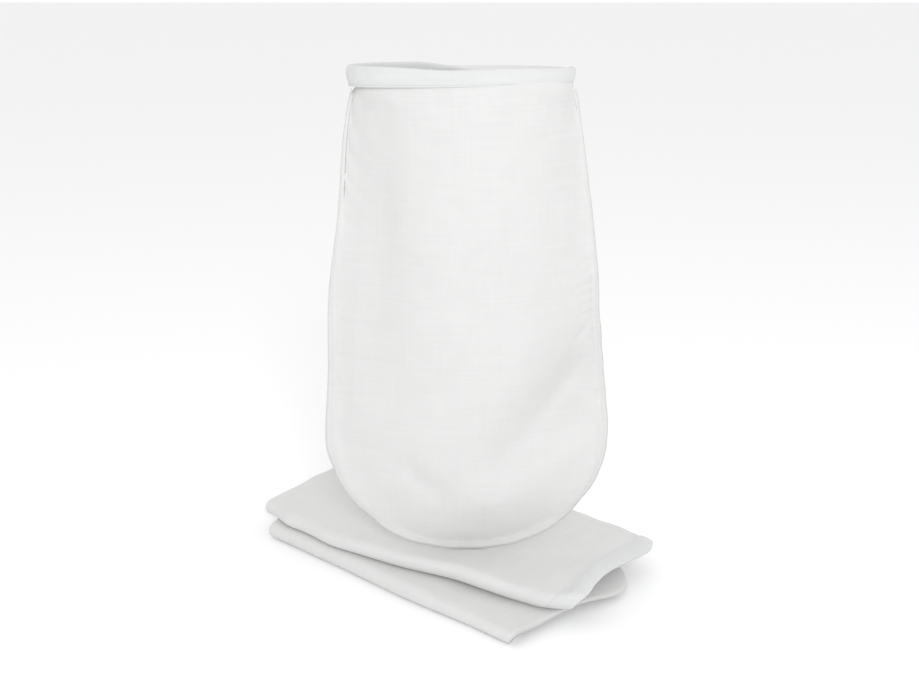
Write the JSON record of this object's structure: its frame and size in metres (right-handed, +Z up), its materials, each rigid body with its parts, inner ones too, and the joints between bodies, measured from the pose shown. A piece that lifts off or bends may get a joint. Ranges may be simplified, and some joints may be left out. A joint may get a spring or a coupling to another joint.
{
  "type": "dust collector filter bag set",
  "caption": "Cloth dust filter bags with round bottoms and elastic hemmed mouths, one standing open on a stack of folded ones.",
  "frame": {"origin": "on the resting plane, under the middle of the open bag's bottom edge", "axes": "+Z up along the open bag, +X right across its width, +Y away from its front panel"},
  "size_m": [0.5086, 0.4445, 0.6372],
  "materials": {
    "filter_cloth": "matt white needled filter cloth",
    "hem_cloth": "matt white cloth",
    "thread": "white polyester sewing thread",
    "elastic": "white woven elastic"
  },
  "bodies": {
    "lower": {"lower_front_panel": "filter_cloth", "lower_back_panel": "filter_cloth", "lower_hem_casing": "hem_cloth", "lower_hem_elastic": "elastic", "lower_seam_thread": "thread", "lower_hem_thread": "thread"},
    "upper": {"upper_front_panel": "filter_cloth", "upper_back_panel": "filter_cloth", "upper_hem_casing": "hem_cloth", "upper_hem_elastic": "elastic", "upper_seam_thread": "thread", "upper_hem_thread": "thread"},
    "open": {"open_front_panel": "filter_cloth", "open_back_panel": "filter_cloth", "open_hem_casing": "hem_cloth", "open_hem_elastic": "elastic", "open_seam_needle_thread": "thread", "open_seam_bobbin_thread": "thread", "open_hem_needle_thread": "thread", "open_hem_bobbin_thread": "thread"}
  },
  "joints": [
    {"name": "upper_lift", "type": "slide", "parent": "lower", "child": "upper", "axis": [0, 0, 1], "range_m": [0, 0.3]},
    {"name": "open_lift", "type": "slide", "parent": "upper", "child": "open", "axis": [0, 0, 1], "range_m": [0, 0.7]}
  ]
}
